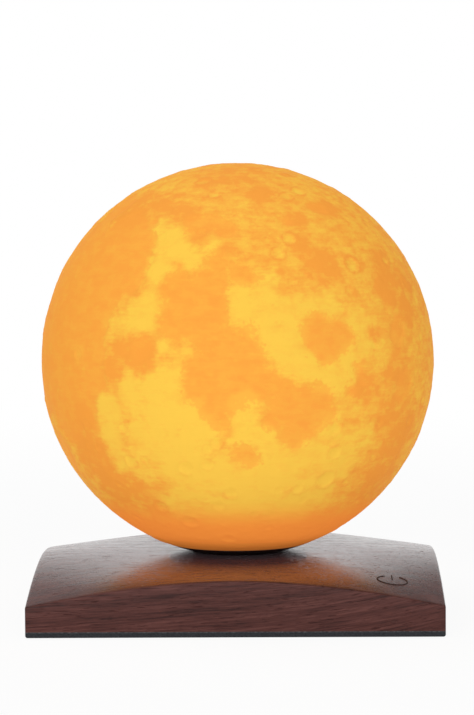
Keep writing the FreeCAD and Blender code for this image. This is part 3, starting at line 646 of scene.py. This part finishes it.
# Height across a crater: the distance from its middle, as a share of twice its radius, and the height there.
CRATER_PROFILE = [(0.0, 0.16), (0.25, 0.20), (0.40, 0.48), (0.50, 0.86), (0.60, 0.70), (0.78, 0.57), (1.0, 0.55)]
PROFILE_END = 2.0  # in radii of the crater

# Small random craters: cells to a ball radius, and the share of its cell that the largest crater fills.
CRATER_FIELDS = ((7.0, 0.30), (14.0, 0.38), (28.0, 0.40))

# On a ball of radius 1.
COAST_NOISE = 9.0, 6.0, 0.62
COAST_WANDER = 0.10
COAST_JOIN = 0.03  # how softly patches of one plain run together
COAST_WIDTH = 0.016
GROUND_NOISE = 16.0, 6.0, 0.62
SEA_COVER = 0.15  # rough ground left on the plains
PATCH_EDGE = 1.35, 0.5  # where dusky and bright ground starts and is full, in its radii
EDGE_FADE = 0.03  # height over which the relief fades out towards the opening

STORED = ("shore", "tint", "pits", "relief")  # what the tree leaves on the mesh for the material


def map_direction(latitude, longitude):
    """Unit vector of a place on the moon map, whose middle faces the front."""
    north, east = math.radians(latitude), math.radians(longitude)
    return (math.cos(north) * math.sin(east), -math.cos(north) * math.cos(east), math.sin(north))


def crater_profile(wiring, reach):
    """Height over the plain, as a share of the crater's radius, at this many radii from its middle."""
    reach = wiring.math("MINIMUM", reach, PROFILE_END)
    node = wiring.add("ShaderNodeFloatCurve", {"Value": wiring.times(reach, 1 / PROFILE_END)})
    curve = node.mapping.curves[0]
    curve.points[0].location, curve.points[-1].location = CRATER_PROFILE[0], CRATER_PROFILE[-1]
    for point in CRATER_PROFILE[1:-1]:
        curve.points.new(*point)
    node.mapping.update()
    return wiring.minus(node.outputs["Value"], CRATER_PROFILE[-1][1])


def crater_field(wiring, place, scale, share):
    """Random craters of one size range: the share of their cell that they fill sets their radius."""
    cells = wiring.add("ShaderNodeTexVoronoi", {"Vector": place, "Scale": scale, "Randomness": 1.0})
    luck = wiring.split(cells.outputs["Color"])[0]
    radius = wiring.ramp(luck, 0.15, 1.0, 0.10 * share, share, smooth=False)
    height = crater_profile(wiring, wiring.over(cells.outputs["Distance"], radius))
    return wiring.times(height, wiring.over(radius, scale))


def soft_patches(wiring, place, rows):
    """The strongest of these soft round patches at a place."""
    strongest = None
    for latitude, longitude, radius, strength in rows:
        away = wiring.vector("DISTANCE", place, map_direction(latitude, longitude))
        start, full = (math.radians(radius) * share for share in PATCH_EDGE)
        patch = wiring.ramp(away, start, full, 0.0, strength)
        strongest = patch if strongest is None else wiring.math("MAXIMUM", strongest, patch)
    return strongest


def ball_tree():
    """The printed ball: six patches of cells blown up to a sphere, with seas, craters and rough highlands."""
    inputs = [
        ("Centre", "Vector"), ("Radius", "Float"), ("Cells", "Int"), ("Turn", "Vector"), ("Opening", "Float"),
        ("Relief", "Float"), ("Sea depth", "Float"), ("Roughness", "Float"), ("Crater depth", "Float"),
        ("Material", "Material"),
    ]
    wiring, sockets, place = shape_tree("moon ball", inputs)
    across = wiring.plus(sockets["Cells"], 1.0)
    cube = wiring.cube((2.0, 2.0, 2.0), across, across)
    even = wiring.vector("TANGENT", wiring.scaled(place, math.pi / 4))
    geometry = wiring.moved(cube, wiring.vector("NORMALIZE", even))
    wires = {"Vector": place, "Rotation": sockets["Turn"]}
    on_map = wiring.out("ShaderNodeVectorRotate", wires, rotation_type="EULER_XYZ", invert=True)

    coast = wiring.vector("SUBTRACT", wiring.noise(on_map, *COAST_NOISE, "Color"), (0.5, 0.5, 0.5))
    ragged = wiring.vector("ADD", on_map, wiring.scaled(coast, COAST_WANDER))
    shore = None
    for latitude, longitude, radius in SEAS:
        away = wiring.vector("DISTANCE", ragged, map_direction(latitude, longitude))
        inside = wiring.minus(math.radians(radius), away)
        shore = inside if shore is None else wiring.math("SMOOTH_MAX", shore, inside, COAST_JOIN)
    sea = wiring.ramp(shore, -COAST_WIDTH, COAST_WIDTH)
    bright, dusky = (soft_patches(wiring, ragged, rows) for rows in (BRIGHT, DUSKY))
    tint = wiring.minus(bright, dusky)

    crater = None
    for latitude, longitude, radius in CRATERS:
        chord = math.radians(radius)
        away = wiring.over(wiring.vector("DISTANCE", on_map, map_direction(latitude, longitude)), chord)
        height = wiring.times(crater_profile(wiring, away), chord)
        crater = height if crater is None else wiring.plus(crater, height)
    cover = wiring.plus(wiring.times(wiring.minus(1.0, sea), 1.0 - SEA_COVER), SEA_COVER)
    for scale, share in CRATER_FIELDS:
        crater = wiring.plus(crater, wiring.times(crater_field(wiring, on_map, scale, share), cover))
    crater = wiring.times(crater, sockets["Crater depth"], sockets["Radius"])
    pits = wiring.over(crater, MM)
    rough = wiring.minus(wiring.noise(on_map, *GROUND_NOISE), 0.5)
    rough = wiring.times(rough, cover, sockets["Roughness"])
    relief = wiring.minus(wiring.plus(crater, rough), wiring.times(sea, sockets["Sea depth"]))

    share = wiring.over(sockets["Opening"], sockets["Radius"])
    edge = wiring.times(wiring.math("SQRT", wiring.minus(1.0, wiring.times(share, share))), -1.0)
    fade = wiring.ramp(wiring.split(place)[2], edge, wiring.plus(edge, EDGE_FADE))
    relief = wiring.over(wiring.times(relief, fade, sockets["Relief"]), MM)

    for label, value in zip(STORED, (shore, tint, pits, relief)):
        wires = {"Geometry": geometry, "Name": label, "Value": value}
        geometry = wiring.out("GeometryNodeStoreNamedAttribute", wires, data_type="FLOAT", domain="POINT")
    wires = {"Name": "relief"}
    stored = wiring.add("GeometryNodeInputNamedAttribute", wires, data_type="FLOAT").outputs["Attribute"]
    away = wiring.plus(sockets["Radius"], wiring.times(stored, MM))
    shaped = wiring.moved(geometry, wiring.vector("ADD", wiring.scaled(place, away), sockets["Centre"]))
    return closed_tree(wiring, shaped, sockets["Material"])


# Marks in the print: rate to a metre (along each axis in the last two), detail and roughness of the noise.
MOTTLE = 190.0, 5.0, 0.66
SPECKS = 520.0, 4.0, 0.65
LAYERS = (90.0, 90.0, 1500.0), 2.0, 0.5
PATCHES = (150.0, 150.0, 300.0), 5.0, 0.7
LAYER_WOBBLE = 1.5 * MM
PATCH_SHARE, MOTTLE_SHARE, FINE_SHARE, TINT_SHARE = 0.45, 1.3, 0.45, 0.62
SHORE_NOISE = 0.13
SHORE_EDGE = -0.018, 0.014
PLAIN_TONES = -0.5, 1.0, 0.0, 0.42

# Heights where the ball's glow turns into its foot's, with its base colour turning to the plains' as painted shade
# under the lamp board, and where the glow then dims, with its share before and after.
FOOT_BAND = 0.0480, 0.0350
FOOT_SHADE = 0.0315, 0.0235, 1.0, 0.35


def moon_material(settings):
    """Printed plastic, lit from inside, with the glow's colour also painted into its base colour as painted light.
    Tone runs from 0 on the dark plains to 1 on the brightest ground.
    """
    made, wiring, shader, place = material("moon_print")
    shore, tint, pits, relief = (
        wiring.add("ShaderNodeAttribute", attribute_name=name).outputs["Fac"] for name in STORED
    )
    mottle = wiring.minus(wiring.noise(place, *MOTTLE), 0.5)
    fine = wiring.minus(wiring.noise(place, *SPECKS), 0.5)
    layers = wiring.minus(wiring.marks(place, *LAYERS), 0.5)
    patchy = wiring.ramp(wiring.marks(place, *PATCHES), 0.38, 0.62, -0.5, 0.5)

    shore = wiring.plus(shore, wiring.times(wiring.plus(mottle, fine), SHORE_NOISE))
    sea = wiring.ramp(shore, *SHORE_EDGE)
    rims = wiring.minus(wiring.ramp(pits, 0.02, 0.24, 0.0, 0.42), wiring.ramp(pits, -0.05, -0.25, 0.0, 0.3))
    grain = wiring.plus(wiring.times(patchy, PATCH_SHARE), wiring.times(mottle, MOTTLE_SHARE))
    grain = wiring.minus(wiring.plus(grain, wiring.times(wiring.plus(fine, layers), FINE_SHARE)), rims)
    calm = wiring.ramp(tint, 0.3, 1.0, 1.0, 0.45)
    ground = wiring.plus(settings.ground_tone, wiring.times(tint, TINT_SHARE), wiring.times(grain, calm))
    ground = wiring.ramp(ground, 0.0, 1.0, smooth=False)
    plains = wiring.ramp(wiring.plus(grain, wiring.times(tint, 0.9)), *PLAIN_TONES)
    tone = wiring.ramp(sea, 0.0, 1.0, ground, plains, smooth=False)

    level = wiring.plus(wiring.split(place)[2], wiring.times(layers, LAYER_WOBBLE))
    under = wiring.ramp(level, *FOOT_BAND)
    # Painted light: the base colour takes the glow's colours, brighter on the bright ground and darker on the plains.
    body = wiring.mix(tone, settings.sea_painted_glow[:], settings.ground_painted_glow[:])
    # Painted shade: in the band under the lamp board the base colour turns to the plains' darker colour.
    body = wiring.mix(under, body, settings.sea_painted_glow[:])
    glow = wiring.mix(tone, settings.sea_glow[:], settings.ground_glow[:])
    glow = wiring.mix(under, glow, settings.foot_glow[:])
    thick = wiring.ramp(relief, -0.6, 0.6, 1.05, 0.93, smooth=False)
    floors = wiring.ramp(pits, -0.04, -0.25, 1.0, 0.96)
    glow = wiring.scaled(glow, wiring.times(thick, floors, wiring.ramp(level, *FOOT_SHADE)))
    wiring.feed(shader, {
        "Base Color": body,
        "Emission Color": glow,
        "Emission Strength": 1.0,
        "Roughness": 0.62,
        "Specular IOR Level": 0.02,
        "Normal": wiring.bump(wiring.plus(mottle, layers), 0.12 * MM, 0.5),
    })
    return made


def opened_shell(mesh, radius, opening):
    """The ball's mesh, welded and cut level where its opening has this radius, as a bmesh."""
    shape = bmesh.new()
    shape.from_mesh(mesh)
    bmesh.ops.remove_doubles(shape, verts=shape.verts, dist=WELD)
    level = BALL_CENTRE.z - math.sqrt(radius**2 - opening**2)
    everything = shape.verts[:] + shape.edges[:] + shape.faces[:]
    bmesh.ops.bisect_plane(shape, geom=everything, plane_co=(0, 0, level), plane_no=(0, 0, 1), clear_inner=True)
    return shape


class MOONLAMP_OT_moon(bpy.types.Operator):
    """Makes the printed moon ball: a relief outside, a plain wall inside, and the round opening underneath"""

    bl_idname = "moonlamp.moon"
    bl_label = "Moon ball"

    def execute(self, context):
        settings = context.scene.moonlamp_moon
        tree = ball_tree()
        values = {
            "Centre": BALL_CENTRE, "Radius": BALL_RADIUS, "Cells": settings.cells, "Turn": settings.turn,
            "Opening": settings.opening, "Relief": 1.0, "Sea depth": settings.sea_depth,
            "Roughness": settings.roughness, "Crater depth": settings.crater_depth,
            "Material": moon_material(settings),
        }
        outside = grown_mesh("moon_outside", tree, values)
        inner_radius = BALL_RADIUS - settings.wall
        values.update({"Radius": inner_radius, "Cells": settings.inner_cells, "Relief": 0.0})
        inside = grown_mesh("moon_inside", tree, values)
        shape = opened_shell(outside, BALL_RADIUS, settings.opening)
        core = opened_shell(inside, inner_radius, settings.opening)
        bmesh.ops.reverse_faces(core, faces=core.faces)
        core.to_mesh(inside)
        core.free()
        shape.from_mesh(inside)
        bmesh.ops.bridge_loops(shape, edges=[e for e in shape.edges if e.is_boundary])
        bmesh.ops.triangulate(shape, faces=[f for f in shape.faces if len(f.verts) > 4])
        mesh = bpy.data.meshes.new("moon_ball")
        shape.to_mesh(mesh)
        shape.free()
        mesh.shade_smooth()
        mesh.set_sharp_from_angle(angle=math.radians(60))
        piece("moon_ball", mesh, values["Material"], "moon", "moon_print", "moon_shell")
        return {"FINISHED"}


# ---------------------------------------------------------------- finishes of the CAD pieces

# Moulded, plated and rolled finishes: two close tones, roughness, rate of the grain to a metre, and 1 for metal.
FINISHES = {
    "black_plastic": ((22, 21, 22), (30, 29, 30), 0.45, 900.0),
    "white_plastic": ((232, 230, 224), (240, 238, 234), 0.42, 700.0),
    "steel": ((168, 170, 172), (186, 187, 188), 0.32, 1200.0, 1.0),
    "nickel": ((186, 182, 172), (202, 199, 190), 0.22, 900.0, 1.0),
    "ferrite": ((48, 48, 50), (60, 59, 60), 0.6, 1400.0),
    "copper": ((176, 96, 58), (200, 120, 78), 0.3, 1600.0, 1.0),
    "brass": ((186, 152, 84), (204, 172, 104), 0.28, 900.0, 1.0),
    "board_green": ((22, 78, 48), (30, 92, 58), 0.38, 1100.0),
    "board_white": ((226, 226, 222), (236, 236, 232), 0.38, 1100.0),
    "chip_black": ((26, 26, 28), (36, 36, 38), 0.55, 1800.0),
    "can_aluminium": ((180, 182, 186), (198, 200, 203), 0.28, 1000.0, 1.0),
    "lead_red": ((150, 26, 24), (170, 34, 30), 0.45, 800.0),
    "led_yellow": ((226, 190, 70), (240, 208, 92), 0.4, 1500.0),
}


def moulded(name, first, second, roughness, grain, metallic=0.0):
    """A finish of two close tones in wide patches, with uneven gloss and a fine grain."""
    made, wiring, shader, place = material(name)
    patches = wiring.noise(place, grain * 0.2, 3.0, 0.5)
    speck = wiring.noise(place, grain, 3.0, 0.6)
    wiring.feed(shader, {
        "Base Color": wiring.mix(wiring.ramp(patches, 0.3, 0.7), srgb(*first), srgb(*second)),
        "Roughness": wiring.ramp(speck, 0.2, 0.8, roughness - 0.06, roughness + 0.06),
        "Metallic": metallic,
        "Normal": wiring.bump(speck, 0.02 * MM, 0.4),
    })
    return made


def foam_material():
    """Dark felted rubber with a pale line of glue and fibres where it meets the wood."""
    made, wiring, shader, place = material("pad_foam")
    fuzz = wiring.noise(place, 1500.0, 4.0, 0.7)
    dabs = wiring.noise(place, 900.0, 4.0, 0.7)
    cloth = wiring.mix(wiring.ramp(fuzz, 0.3, 0.7), srgb(26, 28, 32), srgb(46, 48, 52))
    line = wiring.ramp(wiring.split(place)[2], PAD_TOP - 0.55 * MM, PAD_TOP - 0.15 * MM)
    line = wiring.times(line, wiring.ramp(dabs, 0.40, 0.75, 0.1, 0.8))
    wiring.feed(shader, {
        "Base Color": wiring.mix(line, cloth, srgb(104, 103, 104)),
        "Roughness": 0.95,
        "Normal": wiring.bump(fuzz, 0.15 * MM, 0.8),
    })
    return made


class MOONLAMP_OT_finishes(bpy.types.Operator):
    """Gives every CAD piece the finish of its material slot"""

    bl_idname = "moonlamp.finishes"
    bl_label = "Finishes"

    def execute(self, context):
        finishes = {"pad_foam": foam_material()}
        for name, looks in FINISHES.items():
            finishes[name] = moulded(name, *looks)
        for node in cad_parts.values():
            for slot in node.material_slots:
                slot.material = finishes.get(slot.material.name, slot.material)
        return {"FINISHED"}


# ---------------------------------------------------------------- stage

WORLD_LIGHT = 0.20
LAMP_TARGET = Vector((0.0, 0.0, 0.08))

# Name, place, side in metres and power in watts.
LAMPS = [
    ("key_light", (0.40, -1.7, 0.60), 0.7, 10.0),
    ("fill_light", (-0.55, -1.6, 0.45), 0.7, 9.5),
    ("top_light", (-0.25, 0.25, 1.35), 0.9, 7.0),
]


def floor_material(settings):
    """Pale floor that shows white to the camera and to reflections, and keeps a soft shadow."""
    made, wiring, shader, place = material("pale_floor")
    paper = wiring.times(wiring.noise(place, 6.0, 3.0, 0.55), 0.05)
    pale = wiring.mix(paper, settings.floor_colour[:], srgb(238, 238, 238))
    wiring.feed(shader, {"Base Color": pale, "Roughness": 0.9, "Specular IOR Level": 0.0})
    rays = wiring.add("ShaderNodeLightPath").outputs
    seen = wiring.math("MAXIMUM", rays["Is Camera Ray"], rays["Is Glossy Ray"])
    seen = wiring.math("MAXIMUM", seen, rays["Is Transmission Ray"])
    whiteness = wiring.ramp(wiring.vector("LENGTH", place), 0.2, 0.9, 0.93, 1.0)
    white = wiring.out("ShaderNodeEmission", {"Color": WHITE, "Strength": 1.0})
    wires = {0: wiring.times(seen, whiteness), 1: shader.outputs["BSDF"], 2: white}
    blend = wiring.out("ShaderNodeMixShader", wires)
    wiring.feed(made.node_tree.nodes["Material Output"], {"Surface": blend})
    return made


def soft_lamp(name, place, size, power):
    lamp = bpy.data.lights.new(name, "AREA")
    lamp.shape = "SQUARE"
    lamp.size = size
    lamp.energy = power
    holder = bpy.data.objects.new(name, lamp)
    bpy.context.scene.collection.objects.link(holder)
    holder.location = place
    holder.rotation_mode = "QUATERNION"
    holder.rotation_quaternion = (LAMP_TARGET - Vector(place)).to_track_quat("-Z", "Y")


def pale_world():
    """A studio: white to the camera, soft as light, and in reflections white behind the lamp and darker before it."""
    world = bpy.data.worlds.new("pale_world")
    world.use_nodes = True
    bpy.context.scene.world = world
    wiring = Wiring(world.node_tree)
    rays = wiring.add("ShaderNodeLightPath").outputs
    x, y, z = wiring.split(wiring.add("ShaderNodeTexCoord").outputs["Generated"])
    back = wiring.math("MAXIMUM", wiring.ramp(y, -0.3, 0.2), 0.25)  # by direction, from front to back
    high = wiring.ramp(x, -0.4, 0.4, 0.80, 0.50)  # well over the horizon, from left to right
    mirrored = wiring.times(back, wiring.ramp(z, 0.34, 0.28, high, 1.0))
    clear = wiring.math("MAXIMUM", rays["Is Camera Ray"], rays["Is Transmission Ray"])
    gloss = wiring.times(rays["Is Glossy Ray"], wiring.minus(mirrored, WORLD_LIGHT))
    light = wiring.times(wiring.plus(WORLD_LIGHT, gloss), wiring.minus(1.0, clear))
    wires = {"Color": WHITE, "Strength": wiring.plus(light, clear)}
    wiring.feed(world.node_tree.nodes["Background"], wires)


class MOONLAMP_OT_stage(bpy.types.Operator):
    """Makes the pale floor, the soft light and the camera"""

    bl_idname = "moonlamp.stage"
    bl_label = "Stage"

    def execute(self, context):
        settings = context.scene.moonlamp_stage
        half = settings.floor_size / 2
        places = [(-half, -half, 0.0), (half, -half, 0.0), (half, half, 0.0), (-half, half, 0.0)]
        mesh = bpy.data.meshes.new("floor")
        mesh.from_pydata(places, [], [(0, 1, 2, 3)])
        mesh.materials.append(floor_material(settings))
        floor = bpy.data.objects.new("floor", mesh)
        context.scene.collection.objects.link(floor)
        for row in LAMPS:
            soft_lamp(*row)
        pale_world()

        camera = bpy.data.cameras.new("camera")
        camera.sensor_width = 36.0
        camera.lens = settings.lens
        camera.clip_start, camera.clip_end = 0.05, 50.0
        holder = bpy.data.objects.new("camera", camera)
        context.scene.collection.objects.link(holder)
        turn = Matrix.Rotation(settings.camera_yaw, 4, "Z")
        tip = Matrix.Rotation(math.pi / 2 - settings.camera_pitch, 4, "X")
        roll = Matrix.Rotation(settings.camera_roll, 4, "Z")
        holder.matrix_world = Matrix.Translation(settings.camera_place) @ turn @ tip @ roll
        context.scene.camera = holder
        context.scene.view_settings.view_transform = "Standard"
        return {"FINISHED"}


# ---------------------------------------------------------------- add-on


class MOONLAMP_PT_pieces(bpy.types.Panel):
    """Lists the lamp's pieces and their settings"""

    bl_idname = "MOONLAMP_PT_pieces"
    bl_label = "Moon lamp"
    bl_space_type = "VIEW_3D"
    bl_region_type = "UI"
    bl_category = "Moon lamp"

    def draw(self, context):
        for operator, holder in PANEL_ROWS:
            box = self.layout.box()
            box.operator(operator)
            if holder:
                settings = getattr(context.scene, holder)
                for name in settings.bl_rna.properties.keys():
                    if name not in ("rna_type", "name"):
                        box.prop(settings, name)


PANEL_ROWS = [
    ("moonlamp.stage", "moonlamp_stage"),
    ("moonlamp.finishes", None),
    ("moonlamp.walnut", "moonlamp_walnut"),
    ("moonlamp.mark", "moonlamp_mark"),
    ("moonlamp.moon", "moonlamp_moon"),
]

SETTINGS = {
    "moonlamp_walnut": WalnutSettings,
    "moonlamp_mark": MarkSettings,
    "moonlamp_moon": MoonSettings,
    "moonlamp_stage": StageSettings,
}

OPERATORS = [MOONLAMP_OT_stage, MOONLAMP_OT_finishes, MOONLAMP_OT_walnut, MOONLAMP_OT_mark, MOONLAMP_OT_moon]


def register():
    for holder, group in SETTINGS.items():
        bpy.utils.register_class(group)
        setattr(bpy.types.Scene, holder, PointerProperty(type=group))
    for operator in OPERATORS:
        bpy.utils.register_class(operator)
    bpy.utils.register_class(MOONLAMP_PT_pieces)


def unregister():
    bpy.utils.unregister_class(MOONLAMP_PT_pieces)
    for operator in reversed(OPERATORS):
        bpy.utils.unregister_class(operator)
    for holder, group in SETTINGS.items():
        delattr(bpy.types.Scene, holder)
        bpy.utils.unregister_class(group)


def main():
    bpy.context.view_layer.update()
    register()
    bpy.ops.moonlamp.stage()
    bpy.ops.moonlamp.finishes()
    bpy.ops.moonlamp.walnut()
    bpy.ops.moonlamp.mark()
    bpy.ops.moonlamp.moon()


if __name__ == "__main__":
    main()
